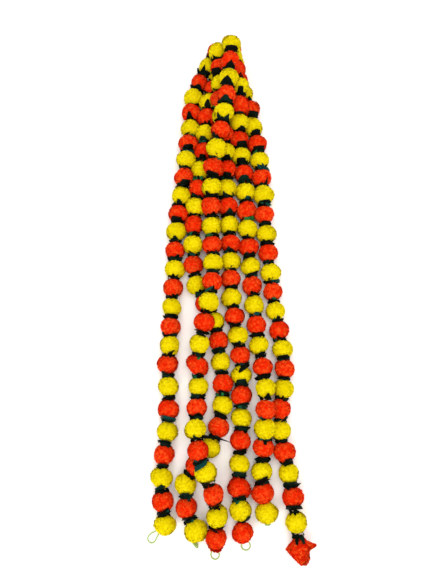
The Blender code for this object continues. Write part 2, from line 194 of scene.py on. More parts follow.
def lay_strand(strand):
    """Centres and axes of a strand's blooms, and the string's places half-way between them."""
    route = ROUTES[strand]
    numbers = sorted(route)
    centres = spline(numbers, [route[n] for n in numbers], np.arange(1, BLOOMS + 1))
    centres[:, 2] = np.maximum(centres[:, 2], LYING_HEIGHT)
    axes = axes_along(np.gradient(centres, axis=0))
    between = (centres[:-1] + centres[1:]) / 2
    reach = np.linalg.norm(centres[1] - centres[0]) / 2
    first = centres[:1] - reach * axes[:1, 0]
    last = centres[-1:] + reach * axes[-1:, 0]
    return centres, axes, np.vstack([first, between, last])


STRANDS = {strand: lay_strand(strand) for strand in ROUTES}
pitch = np.mean([np.linalg.norm(np.diff(c, axis=0), axis=1).mean() for c, _, _ in STRANDS.values()])
print(f"mean pitch of the blooms: {1000 * pitch:.1f} mm")

# %% [markdown]
# ## From arrays to meshes
# All the pieces are worked out as whole arrays. One helper puts points and triangles into a mesh,
# with per-point numbers that the materials read, such as how deep in the bloom a point lies.
# Hundreds of small flat petals would each catch the light on their own, so a bloom's shading
# normals lean outwards from its centre, which softens the petals into one fuzzy ball.


# %% Mesh helper
LEAN_SHARE = 0.65          # of the given way in a leaning normal; the rest is the point's own


def make_piece(name, points, triangles, numbers, material, stands_for, lean=None):
    """A smooth-shaded mesh object at the origin, from arrays of points and triangles. numbers holds
    one float array per name, a value for each point. lean, if given, is a way for each point that
    its shading normal leans towards."""
    points = np.ascontiguousarray(points.reshape(-1, 3), np.float32)
    triangles = np.ascontiguousarray(triangles.reshape(-1, 3), np.int32)
    mesh = bpy.data.meshes.new(name)
    mesh.vertices.add(len(points))
    mesh.vertices.foreach_set("co", points.ravel())
    mesh.loops.add(triangles.size)
    mesh.loops.foreach_set("vertex_index", triangles.ravel())
    mesh.polygons.add(len(triangles))
    mesh.polygons.foreach_set("loop_start", np.arange(0, triangles.size, 3, dtype=np.int32))
    mesh.polygons.foreach_set("use_smooth", np.ones(len(triangles), bool))
    for key, values in numbers.items():
        layer = mesh.attributes.new(key, "FLOAT", "POINT")
        layer.data.foreach_set("value", np.ascontiguousarray(values, np.float32).ravel())
    mesh.update(calc_edges=True)
    mesh.validate()
    if lean is not None:
        own = np.empty(len(points) * 3, np.float32)
        mesh.vertex_normals.foreach_get("vector", own)
        leaning = LEAN_SHARE * lean.reshape(-1, 3) + (1 - LEAN_SHARE) * own.reshape(-1, 3)
        mesh.normals_split_custom_set_from_vertices(unit(leaning))
    mesh.materials.append(material)
    piece = bpy.data.objects.new(name, mesh)
    bpy.context.scene.collection.objects.link(piece)
    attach(piece, "root")
    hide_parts(*stands_for)
    print(f"{name}: {len(triangles)} triangles")
    return piece


def runs_of(strand, slot=None):
    """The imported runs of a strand, or only those with that colour slot."""
    return [part["node"] for part in frame["record"]["subparts"]
            if part["node"].startswith(f"strand_{strand}_run")
            and slot in (None, part["material_slot"])]


# %% Triangles that repeat
def repeated(triangles, count, step):
    """The same triangles for each of count things, whose points follow each other step by step."""
    return (triangles + step * np.arange(count)[:, None, None]).reshape(-1, 3)


def closed_faces(rows, sides):
    """Two triangles for each square between rows of points that go all the way round, and a fan
    that closes each end on a point of its own. The two end points come after the rows."""
    i, j = np.meshgrid(np.arange(rows - 1), np.arange(sides), indexing="ij")
    a, b = i * sides + j, i * sides + (j + 1) % sides
    walls = np.stack([a, a + sides, b + sides, a, b + sides, b], axis=-1).reshape(-1, 3)
    j = np.arange(sides)
    k = (j + 1) % sides
    last, end = (rows - 1) * sides, rows * sides
    first_fan = np.stack([j, k, j * 0 + end], axis=-1)
    last_fan = np.stack([last + k, last + j, j * 0 + end + 1], axis=-1)
    return np.vstack([walls, first_fan, last_fan])


# %% What lies on the surface
def on_floor(points, low=0.0004, soft=0.003, deepest=-0.005):
    """What would be lower than soft is squeezed into the room between low and soft, as a petal
    pressed on the surface is: the height runs evenly from low, at deepest, to soft."""
    height = points[..., 2]
    squeezed = low + (soft - low) * np.clip((height - deepest) / (soft - deepest), 0, 1)
    points[..., 2] = np.where(height < soft, squeezed, height)
    return points


# %% [markdown]
# ## Materials
# The blooms are pom-poms of soft flower cloth, cut in hundreds of short petals. Dyed cloth is matt,
# and painted shade makes it darker down between the petals, where light gets lost, and a little
# lighter at its cut tips. The leaves are waxed cloth, nearly black-green with a satin gleam and, on
# a few, a painted teal gleam. The string is pale green twisted cotton, with painted shade in the
# grooves of its twist.


# %% Colour and node helpers
def linear(code):
    """The linear red, green and blue of an sRGB hex colour."""
    values = np.array([int(code[i:i + 2], 16) for i in (1, 3, 5)]) / 255
    turned = np.where(values <= 0.04045, values / 12.92, ((values + 0.055) / 1.055) ** 2.4)
    return (*turned.tolist(), 1.0)


def new_material(name):
    """An empty node material with its output and a Principled shader."""
    material = bpy.data.materials.new(name)
    material.use_nodes = True
    return material, material.node_tree, material.node_tree.nodes["Principled BSDF"]


def node(tree, kind, values=None, links=None, **settings):
    """A node of that kind: settings are its properties, values fill its sockets, and links join an
    output of another node to one of its sockets."""
    made = tree.nodes.new(kind)
    for key, value in settings.items():
        setattr(made, key, value)
    for key, value in (values or {}).items():
        made.inputs[key].default_value = value
    for key, source in (links or {}).items():
        tree.links.new(source, made.inputs[key])
    return made


# %% Flower cloth
FLECK_SHARE = 0.55         # the most that the palest colour shows


def flower_cloth(name, deep, body, tip, fleck):
    """Dyed flower cloth. The colour runs from deep, a painted shade down between the petals, over
    body to tip, lighter where the petals stand out, and the palest petals lean towards fleck."""
    material, tree, shader = new_material(name)
    depth = node(tree, "ShaderNodeAttribute", attribute_name="depth")
    tint = node(tree, "ShaderNodeAttribute", attribute_name="tint")
    # The colour follows the depth: painted shade in the deep colour between the petals, lighter
    # towards the tips
    ramp = node(tree, "ShaderNodeValToRGB", links={"Fac": depth.outputs["Fac"]})
    ramp.color_ramp.elements[0].position = 0.1
    ramp.color_ramp.elements[0].color = linear(deep)
    ramp.color_ramp.elements[1].position = 1.0
    ramp.color_ramp.elements[1].color = linear(tip)
    middle = ramp.color_ramp.elements.new(0.6)
    middle.color = linear(body)
    # Petals with a tint past 0.72 are paler, the more the higher it is
    chosen = node(tree, "ShaderNodeMapRange",
                  {"From Min": 0.72, "From Max": 1.0, "To Max": FLECK_SHARE},
                  {"Value": tint.outputs["Fac"]})
    place = node(tree, "ShaderNodeTexCoord")
    # Faded patches, about 12 mm across
    patches = node(tree, "ShaderNodeTexNoise", {"Scale": 80.0, "Detail": 1.0},
                   {"Vector": place.outputs["Object"]})
    faded = node(tree, "ShaderNodeMapRange",
                 {"From Min": 0.48, "From Max": 0.80, "To Max": FLECK_SHARE},
                 {"Value": patches.outputs["Fac"]})
    paler = node(tree, "ShaderNodeMath", None,
                 {0: chosen.outputs["Result"], 1: faded.outputs["Result"]}, operation="MAXIMUM")
    # Of a colour mix, socket 0 is the share, and 6 and 7 are the two colours
    flecked = node(tree, "ShaderNodeMix", {7: linear(fleck)},
                   {0: paler.outputs["Value"], 6: ramp.outputs["Color"]}, data_type="RGBA")
    # Threads of the cloth, 0.5 mm apart, drawn 1.2 mm apart so that they show
    threads = node(tree, "ShaderNodeTexNoise", {"Scale": 830.0, "Detail": 2.0, "Roughness": 0.6},
                   {"Vector": place.outputs["Object"]})
    bump = node(tree, "ShaderNodeBump", {"Strength": 0.35, "Distance": 0.0004},
                {"Height": threads.outputs["Fac"]})
    tree.links.new(flecked.outputs[2], shader.inputs["Base Color"])
    tree.links.new(bump.outputs["Normal"], shader.inputs["Normal"])
    shader.inputs["Roughness"].default_value = 0.85
    shader.inputs["Specular IOR Level"].default_value = 0.03
    return material


YELLOW_CLOTH = flower_cloth("yellow_flower_cloth", "#D2B400", "#DAC300", "#E0CB00", "#EFDE14")
ORANGE_CLOTH = flower_cloth("orange_flower_cloth", "#BA1400", "#DA1D00", "#E22B04", "#F46624")


# %% Waxed leaf cloth
def waxed_leaf():
    """Dark green waxed cloth: nearly black, with a satin gleam, a paler leaf here and there, and a
    painted teal gleam on a few leaves.
    """
    material, tree, shader = new_material("waxed_leaf_cloth")
    tint = node(tree, "ShaderNodeAttribute", attribute_name="tint")
    ramp = node(tree, "ShaderNodeValToRGB", links={"Fac": tint.outputs["Fac"]})
    ramp.color_ramp.elements[0].position = 0.0
    ramp.color_ramp.elements[0].color = linear("#030502")
    ramp.color_ramp.elements[1].position = 1.0
    ramp.color_ramp.elements[1].color = linear("#226B2C")
    # Tints from 0.90 towards 0.95 turn into a painted teal gleam, on the listed large leaves and on
    # a few small ones at random; the last stop is a paler green leaf
    for position, code in ((0.6, "#050F08"), (0.90, "#08241A"), (0.95, "#0A3E3A")):
        ramp.color_ramp.elements.new(position).color = linear(code)
    place = node(tree, "ShaderNodeTexCoord")
    # Crinkles of the wax, about 3 mm across
    crinkle = node(tree, "ShaderNodeTexNoise", {"Scale": 330.0, "Detail": 3.0},
                   {"Vector": place.outputs["Object"]})
    bump = node(tree, "ShaderNodeBump", {"Strength": 0.4, "Distance": 0.0006},
                {"Height": crinkle.outputs["Fac"]})
    tree.links.new(ramp.outputs["Color"], shader.inputs["Base Color"])
    tree.links.new(bump.outputs["Normal"], shader.inputs["Normal"])
    shader.inputs["Roughness"].default_value = 0.5
    shader.inputs["Specular IOR Level"].default_value = 0.04
    return material


LEAF_CLOTH = waxed_leaf()


# %% Twisted cotton
def twisted_cotton():
    """Pale green cotton string: matt, with painted shade in the grooves of its twist."""
    material, tree, shader = new_material("twisted_cotton_string")
    depth = node(tree, "ShaderNodeAttribute", attribute_name="depth")
    ramp = node(tree, "ShaderNodeValToRGB", links={"Fac": depth.outputs["Fac"]})
    # The first colour is the painted shade in the grooves of the twist, the second the ridges
    ramp.color_ramp.elements[0].color = linear("#6F8F38")
    ramp.color_ramp.elements[1].color = linear("#A9C45C")
    tree.links.new(ramp.outputs["Color"], shader.inputs["Base Color"])
    shader.inputs["Roughness"].default_value = 0.8
    return material


STRING_COTTON = twisted_cotton()
print("materials:", len(bpy.data.materials))

# %% [markdown]
# ## A pom-pom bloom
# A real bloom has many hundreds of short petals, packed into a ball that is a little shorter along
# the string than across it. Modelling each petal as its own small blade gives the fuzzy outline and
# the soft grain that a bumped ball lacks. A golden-angle spiral spreads them evenly over the ball,
# and each is turned and tipped at random, so no rows show. A closed ball inside carries their roots.

# %% One petal, and where petals stand
PETALS = 860               # on each bloom
PETAL_WIDTH = 0.0056       # widest, near its tip
PETAL_LEAN = 0.0056        # how far the tip leans over
PETAL_DEPTH = 0.0026       # how far the root is sunk
FULL_RADIUS = 0.0279       # bloom to its outer petals, across the string
PRESSED_RADIUS = 0.0252    # the same for the blooms that the tied end presses
FULL_HALF = 0.0265         # bloom to its outer petals, along the string
GROWTH = 0.07              # how much fuller the blooms are where the strands gather
CORE_SHARE = 0.955         # the ball that carries the petals
PETAL_STRAY = 0.035        # how far a petal's direction strays, on a ball of radius one
PETAL_JITTER = 0.00022     # how far each of its points strays
PETAL_LIFT = 0.00034       # how far it is pushed in or pulled out
# Across, over and out, in shares of the width, lean and depth: two root points, two in the middle,
# and three at the tip, the middle one standing out furthest
PETAL = np.array([
    (-0.28, 0.0, -1.0), (0.28, 0.0, -1.0), (-0.50, 0.25, -0.40), (0.50, 0.25, -0.40),
    (-0.42, 0.85, -0.05), (0.0, 1.05, 0.08), (0.42, 0.85, -0.05)])
PETAL_FACES = np.array([(0, 1, 3), (0, 3, 2), (2, 3, 5), (2, 5, 4), (3, 6, 5)])
# Depth of each petal point, which the cloth turns into colour: painted shade at the roots, the
# lightest colour at the tip
PETAL_SHADE_LEVELS = np.array([0.0, 0.0, 0.55, 0.55, 0.95, 1.0, 0.95])


def spiral(count):
    """Directions on the unit ball: each next one is lower by an even step and turned by the golden
    angle."""
    index = np.arange(count)
    height = 1 - (2 * index + 1) / count
    turn = index * math.pi * (3 - math.sqrt(5))
    flat = np.sqrt(1 - height ** 2)
    return np.stack([height, flat * np.cos(turn), flat * np.sin(turn)], axis=-1)


def lumps(directions, bumps, sizes):
    """How far the ball stands out in each direction: 1, plus each lump's size times the fifth power
    of the cosine between the direction and the lump's middle."""
    cosines = np.clip(np.einsum("bpk,bmk->bpm", directions, bumps), 0, 1)
    return 1 + np.einsum("bpm,bm->bp", cosines ** 5, sizes)


def to_place(local, centres, axes):
    """Points given along, to the side and up, moved to their bloom's place."""
    moved = np.einsum("b...k,bkc->b...c", local, axes)
    return moved + centres.reshape(-1, *([1] * (local.ndim - 2)), 3)


# %% Petals of many blooms at once
def petals_of(halves, bumps, sizes, draw):
    """Petal points of each bloom in its own axes. A petal's base point is the direction times the
    half-lengths of the ball, times its lumps. Its points lie across, over and out from there."""
    count = len(halves)
    directions = unit(spiral(PETALS)[None] + draw.normal(0, PETAL_STRAY, (count, PETALS, 3)))
    base = directions * halves * lumps(directions, bumps, sizes)[..., None]
    out = unit(directions / halves)
    across = unit(np.cross(out, draw.normal(0, 1, out.shape)))
    over = np.cross(out, across)
    size = draw.uniform(0.8, 1.2, (count, PETALS, 1, 1))
    shape = PETAL * (PETAL_WIDTH, PETAL_LEAN, PETAL_DEPTH) * size
    shape = shape + draw.normal(0, PETAL_JITTER, shape.shape)
    lift = draw.normal(0, PETAL_LIFT, (count, PETALS, 1))
    points = base[:, :, None, :] + shape[..., :1] * across[:, :, None, :]
    points += shape[..., 1:2] * over[:, :, None, :]
    return points + (shape[..., 2] + lift)[..., None] * out[:, :, None, :]


# %% The ball under the petals
CORE_ROWS, CORE_SIDES = 9, 14


def ball_directions():
    """Ways from a ball's middle to its rows of points, and then to its two poles: the polar
    angle's cosine along, and its sine times the turn's cosine to the side and sine upwards."""
    polar = math.pi * np.arange(1, CORE_ROWS + 1) / (CORE_ROWS + 1)
    turn = 2 * math.pi * np.arange(CORE_SIDES) / CORE_SIDES
    p, t = np.meshgrid(polar, turn, indexing="ij")
    rows = np.stack([np.cos(p), np.sin(p) * np.cos(t), np.sin(p) * np.sin(t)], axis=-1)
    return np.vstack([rows.reshape(-1, 3), (1.0, 0.0, 0.0), (-1.0, 0.0, 0.0)])


CORE_POINTS, CORE_FACES = ball_directions(), closed_faces(CORE_ROWS, CORE_SIDES)
print("faces in a bloom:", PETALS * len(PETAL_FACES) + len(CORE_FACES))


# %% [markdown]
# ## Blooms that differ
# Strung blooms are squashed in their box, so no two are quite alike: ten of them bulge or are
# flattened on one side, and the last one of strand 6 has come open into a flat, frayed kite. None
# of them is modelled anew. The same petals and ball are moved by a formula, so that a misshapen
# bloom keeps its grain.

# %% The last bloom of strand 6, which has come open
OPENED_STRAND = 6
KITE_ENDS = (-0.027, 0.0450)   # the near and far corners, along the string
KITE_LEFT = ((0.0, 0.40, 0.92, 1.0), (0.006, 0.0385, 0.009, 0.004))
KITE_RIGHT = ((0.0, 0.28, 0.84, 1.0), (0.008, 0.0215, 0.0225, 0.010))
HORN = 0.021               # how far the frayed horn stands out from the right side
HORN_AT, HORN_WIDTH = 0.40, 0.085
KITE_HEIGHT = 0.62         # share of the ball's height that is left
KITE_FRAY = 0.0007         # how far each point strays
FRAYED_SIDE = 0.040        # out to the right, where the frayed side is at its palest


def opened(points, draw):
    """A ball's points drawn out into a flat kite. The half-width on each side runs straight between
    the corners of its list of shares of the length; the height is a share of the ball's; one side
    is pulled out into a blunt horn; and every point is frayed a little."""
    along, side, up = points[..., 0], points[..., 1], points[..., 2]
    share = np.clip((along / FULL_HALF + 1) / 2, 0, 1)
    round_width = np.sqrt(np.clip(share * (1 - share), 0.002, 1)) * 2 * FULL_RADIUS
    kite_width = np.where(side > 0, np.interp(share, *KITE_LEFT), np.interp(share, *KITE_RIGHT))
    wider = np.clip(side / round_width, -1.08, 1.08)
    horn = HORN * np.exp(-((share - HORN_AT) / HORN_WIDTH) ** 4) * np.clip(-wider, 0, 1) ** 2
    drawn = KITE_ENDS[0] + (KITE_ENDS[1] - KITE_ENDS[0]) * share
    kite = np.stack([drawn, wider * kite_width - horn, up * KITE_HEIGHT], axis=-1)
    return kite + draw.normal(0, KITE_FRAY, kite.shape)


def frayed_paint(points, tint, draw):
    """The open bloom's tint, and the factor on its depth. Both grow with the cube of the share of
    the way to the far corner, and to the frayed side, so the rest of it is darker and mottled."""
    frayed = np.clip(points[:, 0] / KITE_ENDS[1], 0, 1) ** 3
    frayed = frayed + np.clip(-points[:, 1] / FRAYED_SIDE, 0, 1) ** 3
    mottle = 0.45 + 0.6 * frayed + draw.normal(0, 0.15, frayed.shape)
    return np.clip(tint + 0.55 * frayed, 0, 1), np.clip(mottle, 0.2, 1)


# %% Blooms with a shape of their own
# Strand and bloom, then the ways along, to the side and up in which the bloom bulges, with the
# bulge's size
ODD_BLOOMS = {
    (3, 1): [(-0.5, 0.8, 0.3, 0.24)],
    (3, 18): [(-0.6, 0.75, 0.0, 0.28), (0.75, -0.6, 0.0, 0.26), (0.6, 0.7, 0.0, -0.20),
              (-0.7, -0.6, 0.0, -0.15)],
    (3, 24): [(1.0, 0.0, 0.0, 0.12), (0.0, 1.0, 0.0, -0.12)],
    (3, 26): [(1.0, 0.0, 0.0, 0.24), (-0.3, 0.9, 0.0, 0.08)],
    (2, 26): [(0.0, -1.0, 0.0, 0.18), (0.8, -0.5, 0.0, 0.12)],
    (4, 24): [(0.5, -0.85, 0.0, 0.26), (0.3, 0.9, 0.0, 0.14)],
    (5, 25): [(0.1, 0.95, 0.1, 0.16), (-0.5, -0.8, 0.0, 0.08), (1.0, 0.0, 0.0, 0.10)],
    (5, 26): [(-0.2, 0.9, 0.0, 0.12), (0.0, -1.0, 0.0, 0.12), (-1.0, 0.0, 0.0, 0.10),
              (1.0, 0.0, 0.0, -0.08)],
    (1, 24): [(-0.6, 0.8, 0.0, 0.12), (0.7, 0.7, 0.0, -0.14)],
    (1, 26): [(0.5, 0.8, 0.0, -0.10), (0.0, -1.0, 0.0, 0.08)],
}
LUMPS, LUMP_SIZE = 8, 0.125          # on each bloom, and how far they stand out or in at the most
print("blooms with a bulge of their own:", len(ODD_BLOOMS))


def bloom_lumps(strand, numbers, draw):
    """The middles and sizes of each bloom's lumps, at random. The bulges above take the place of
    the first ones."""
    bumps = unit(draw.normal(0, 1, (len(numbers), LUMPS, 3)))
    sizes = draw.uniform(-LUMP_SIZE, LUMP_SIZE, (len(numbers), LUMPS))
    for place, number in enumerate(numbers):
        for which, (*way, size) in enumerate(ODD_BLOOMS.get((strand, number), ())):
            bumps[place, which] = unit(np.array(way))
            sizes[place, which] = size
    return bumps, sizes


# %% How full each bloom is
GATHER_FROM = -0.10        # place along the garland where the blooms begin to be fuller
GATHER_WITHIN = 0.30       # and the way on which they come to their fullest
PILE_TOP, PILE_DEPTH = 0.12, 0.08   # no fuller at this height, and fully so this far below it


def bloom_growth(centres):
    """How many times fuller than the rest a bloom is: one up to the middle of the garland, then
    evenly more where the strands gather, and less so the higher the bloom lies in the pile."""
    gathered = np.clip((centres[:, 1] - GATHER_FROM) / GATHER_WITHIN, 0, 1)
    buried = np.clip((PILE_TOP - centres[:, 2]) / PILE_DEPTH, 0, 1)
    return 1 + GROWTH * gathered * buried


def bloom_halves(strand, numbers, draw):
    """Half-lengths along, to the side and up: smaller where the tied end presses the bloom, a
    little larger where the strands gather, and never two quite alike."""
    pressed = (numbers <= SNUG_BLOOMS) & (strand != FREE_STRAND)
    growth = bloom_growth(STRANDS[strand][0][numbers - 1])
    across = np.where(pressed, PRESSED_RADIUS, FULL_RADIUS * growth)
    full = np.stack([FULL_HALF * (1 + (growth - 1) / 2), across, across], axis=-1)
    return (full * draw.uniform(0.97, 1.03, full.shape))[:, None, :]


# %% All blooms of one colour on a strand
CORE_DEPTH, CORE_TINT = 0.62, 0.5    # what the materials read on the inner ball


def make_blooms(strand, colour, material):
    """One piece: the petals and inner balls of every bloom of that colour."""
    centres, axes, _ = STRANDS[strand]
    start = 1 if FIRST_COLOUR[strand] == colour else 2
    numbers = np.arange(start, BLOOMS + 1, 2)
    draw = np.random.default_rng([strand, start])
    count = len(numbers)
    bumps, sizes = bloom_lumps(strand, numbers, draw)
    halves = bloom_halves(strand, numbers, draw)
    petals = petals_of(halves, bumps, sizes, draw).reshape(count, -1, 3)
    ball_ways = np.broadcast_to(CORE_POINTS, (count, *CORE_POINTS.shape))
    ball = ball_ways * halves * (CORE_SHARE * lumps(ball_ways, bumps, sizes))[..., None]
    local = np.concatenate([petals, ball], axis=1)
    # A random tint for each petal, and a smaller step of it for each bloom
    tint = np.repeat(draw.uniform(0, 1, (count, PETALS)), len(PETAL), axis=1)
    tint = np.clip(tint + draw.uniform(-0.12, 0.16, (count, 1)), 0, 1)
    tint = np.concatenate([tint, np.full((count, len(CORE_POINTS)), CORE_TINT)], axis=1)
    mottled = np.ones_like(tint)
    if strand == OPENED_STRAND and numbers[-1] == BLOOMS:
        local[-1] = opened(local[-1], draw)
        tint[-1], mottled[-1] = frayed_paint(local[-1], tint[-1], draw)
    points = on_floor(to_place(local, centres[numbers - 1], axes[numbers - 1]))
    petal_faces = repeated(PETAL_FACES, PETALS, len(PETAL))
    faces = np.vstack([petal_faces, CORE_FACES + len(PETAL) * PETALS])
    # Along, side and up are left-handed axes, so each face is turned to point outwards
    faces = repeated(faces[:, ::-1], count, points.shape[1])
    depth = np.tile(PETAL_SHADE_LEVELS, (count, PETALS))
    depth = np.concatenate([depth, np.full((count, len(CORE_POINTS)), CORE_DEPTH)], axis=1)
    slot = "marigold_" + colour
    ball_out = unit(to_place(local, np.zeros((count, 3)), axes[numbers - 1]))
    return make_piece(f"strand_{strand}_{colour}_blooms", points, faces,
                      {"tint": tint, "depth": depth * mottled}, material,
                      runs_of(strand, slot), ball_out)


for strand_number in ROUTES:
    make_blooms(strand_number, "yellow", YELLOW_CLOTH)
    make_blooms(strand_number, "orange", ORANGE_CLOTH)

# %% [markdown]
# ## Leaf collars
# Between two blooms sits a ruff of leaves cut from waxed cloth. Most lie across the string, in the
# groove between the two balls, and stick out at both sides; a few small ones reach over the
# shoulder of a bloom and end in a point. The large ones, which give each gap its own look, are
# listed one by one. Each leaf is folded along its middle. It is a sheet over two parameters, along
# and across, and a Solidify modifier gives all of them the thickness of waxed cloth.

# %% Leaves round the string
BANDS, POINTED = 5, 2      # in each collar: leaves across the string, and small pointed ones
LEAF_ROWS, LEAF_COLUMNS = 7, 3
LEAF_POINTS = LEAF_ROWS * LEAF_COLUMNS
LEAF_CLOTH_THICKNESS = 0.0006
SMALL_CLEARANCE = 0.0022   # small leaves lie among the petals' tips
LARGE_CLEARANCE = 0.0048   # large ones lie over the highest tips
SPARSE_GAPS = {4: [25], 5: [25]}    # strand: gaps whose leaves are small enough to hardly show
SPARSE_SHARE = 0.55        # of a leaf's size in those gaps
LEAF_ROOT = 0.42           # polar angle on the ball where a leaf over a shoulder starts


def leaf_shape(count, leaves, draw):
    """Shares along and across a leaf: across runs from edge to edge, and each edge's reach falls
    from full in the middle of the leaf to a torn stub at its ends. The ends are cut aslant, and
    every point strays a little."""
    along = np.linspace(-1, 1, LEAF_ROWS)[:, None]
    across = np.linspace(-1, 1, LEAF_COLUMNS)[None, :]
    power = draw.uniform(2.0, 9.0, (count, leaves, 1, 1))
    stub = draw.uniform(0.10, 0.90, (count, leaves, 1, 1))
    reach = stub + (1 - stub) * (1 - np.abs(along) ** power)
    ragged = 1 + draw.normal(0, 0.14, (count, leaves, LEAF_ROWS, LEAF_COLUMNS))
    cut = draw.normal(0, 0.22, (count, leaves, 1, 1))
    return along + cut * across, across * reach * ragged


def leaf_faces():
    """Two triangles for each square of a leaf's grid of points."""
    i, j = np.meshgrid(np.arange(LEAF_ROWS - 1), np.arange(LEAF_COLUMNS - 1), indexing="ij")
    a = i * LEAF_COLUMNS + j
    b = a + LEAF_COLUMNS
    return np.stack([a, a + 1, b + 1, a, b + 1, b], axis=-1).reshape(-1, 3)


def turned(out, tangent, up, angle):
    """A leaf's points in the collar's axes, from its reach out from the string, along the tangent,
    and up the string, at that angle round the string."""
    c, s = np.cos(angle), np.sin(angle)
    return np.stack([up, out * c - tangent * s, out * s + tangent * c], axis=-1)


# %% Leaves across the string
BAND_HALF_LENGTH = (0.0135, 0.0195)  # the least and the most, before the collar's fullness
BAND_HALF_WIDTH = (0.0070, 0.0098)
BAND_OUT = (0.0140, 0.0180)          # from the string to the fold
BAND_CURL = (2.0, 13.0)              # how fast the ends bend in, per metre


def band_leaves(growth, draw):
    """Leaves that lie across the string: the tangent is the length times the share along, the
    leaf's two halves slope in from the fold like a roof, its ends bend in with the square of the
    tangent, and the whole leaf is slewed a little in the groove. Each collar has a fullness of its
    own, larger where the blooms are fuller."""
    count = len(growth)
    pick = (count, BANDS, 1, 1)
    along, across = leaf_shape(count, BANDS, draw)
    gathered = (growth.reshape(-1, 1, 1, 1) - 1) / GROWTH
    fullness = draw.uniform(0.50, 1.0, (count, 1, 1, 1)) * (1 - gathered / 2) + 0.60 * gathered
    grown = fullness * draw.uniform(0.75, 1.1, pick)
    tangent = along * draw.uniform(*BAND_HALF_LENGTH, pick) * grown
    tangent = tangent + draw.normal(0, 0.0025, pick)
    width = across * draw.uniform(*BAND_HALF_WIDTH, pick) * grown
    slew = draw.normal(0, 0.24, pick)
    roof = draw.uniform(*BAND_OUT, pick) - 0.42 * np.abs(width)
    out = roof - draw.uniform(*BAND_CURL, pick) * tangent ** 2
    up = width * np.cos(slew) + tangent * np.sin(slew) + draw.normal(0, 0.0014, pick)
    angle = 2 * math.pi * np.arange(BANDS).reshape(1, -1, 1, 1) / BANDS + draw.normal(0, 0.2, pick)
    angle = angle + math.pi / 2 + draw.normal(0, 0.25, (count, 1, 1, 1))
    return turned(out, tangent * np.cos(slew), up, angle)


# %% Leaves over a shoulder
SMALL_HALF_WIDTH = (0.004, 0.008)    # the least and the most
SMALL_REACH = (0.005, 0.011)         # along the string, over the bloom
SMALL_BEFORE = 0.65                  # share of them that lie over the bloom before


def shoulder_leaves(clear, gap, growth, turn, half, reach, taper, slew, draw):
    """Leaves that lie over a bloom's shoulder. Along the leaf the polar angle on the ball grows
    from the root's to where the leaf has gone reach along the string; the width falls by taper
    times the share's power 1.4; and the leaf sinks with the square of its width, so that it half
    follows the ball."""
    share = np.linspace(0, 1, LEAF_ROWS)[:, None]
    across = np.linspace(-1, 1, LEAF_COLUMNS)[None, :]
    gap, growth, turn, half, reach, taper, slew = (
        np.asarray(value, float)[..., None, None]
        for value in (gap, growth, turn, half, reach, taper, slew))
    ball = FULL_HALF + clear
    furthest = np.arccos(np.clip((gap / 2 - np.abs(reach)) / ball, -0.2, 0.9))
    polar = LEAF_ROOT + share * (furthest - LEAF_ROOT)
    ragged = 1 + draw.normal(0, 0.08, (*gap.shape[:-2], LEAF_ROWS, LEAF_COLUMNS))
    width = across * half * (1.04 - taper * share ** 1.4) * ragged
    ring = (FULL_RADIUS * growth + clear) * np.sin(polar)
    out = ring - 0.15 * width ** 2 / ring - 0.10 * np.abs(width)
    up = -np.sign(reach) * (gap / 2 - ball * np.cos(polar)) + np.tan(slew) * width
    return turned(out, width, up, math.pi / 2 + turn)


def small_leaves(gap, growth, draw):
    """The few small pointed leaves of each collar, at any turn and over either bloom."""
    pick = (len(gap), POINTED)
    reach = draw.uniform(*SMALL_REACH, pick)
    reach = reach * np.where(draw.uniform(0, 1, pick) < SMALL_BEFORE, 1, -1)
    return shoulder_leaves(SMALL_CLEARANCE, gap[:, None], growth[:, None],
                           draw.uniform(-1.6, 1.6, pick), draw.uniform(*SMALL_HALF_WIDTH, pick),
                           reach, draw.uniform(0.5, 1.0, pick), draw.normal(0, 0.3, pick), draw)


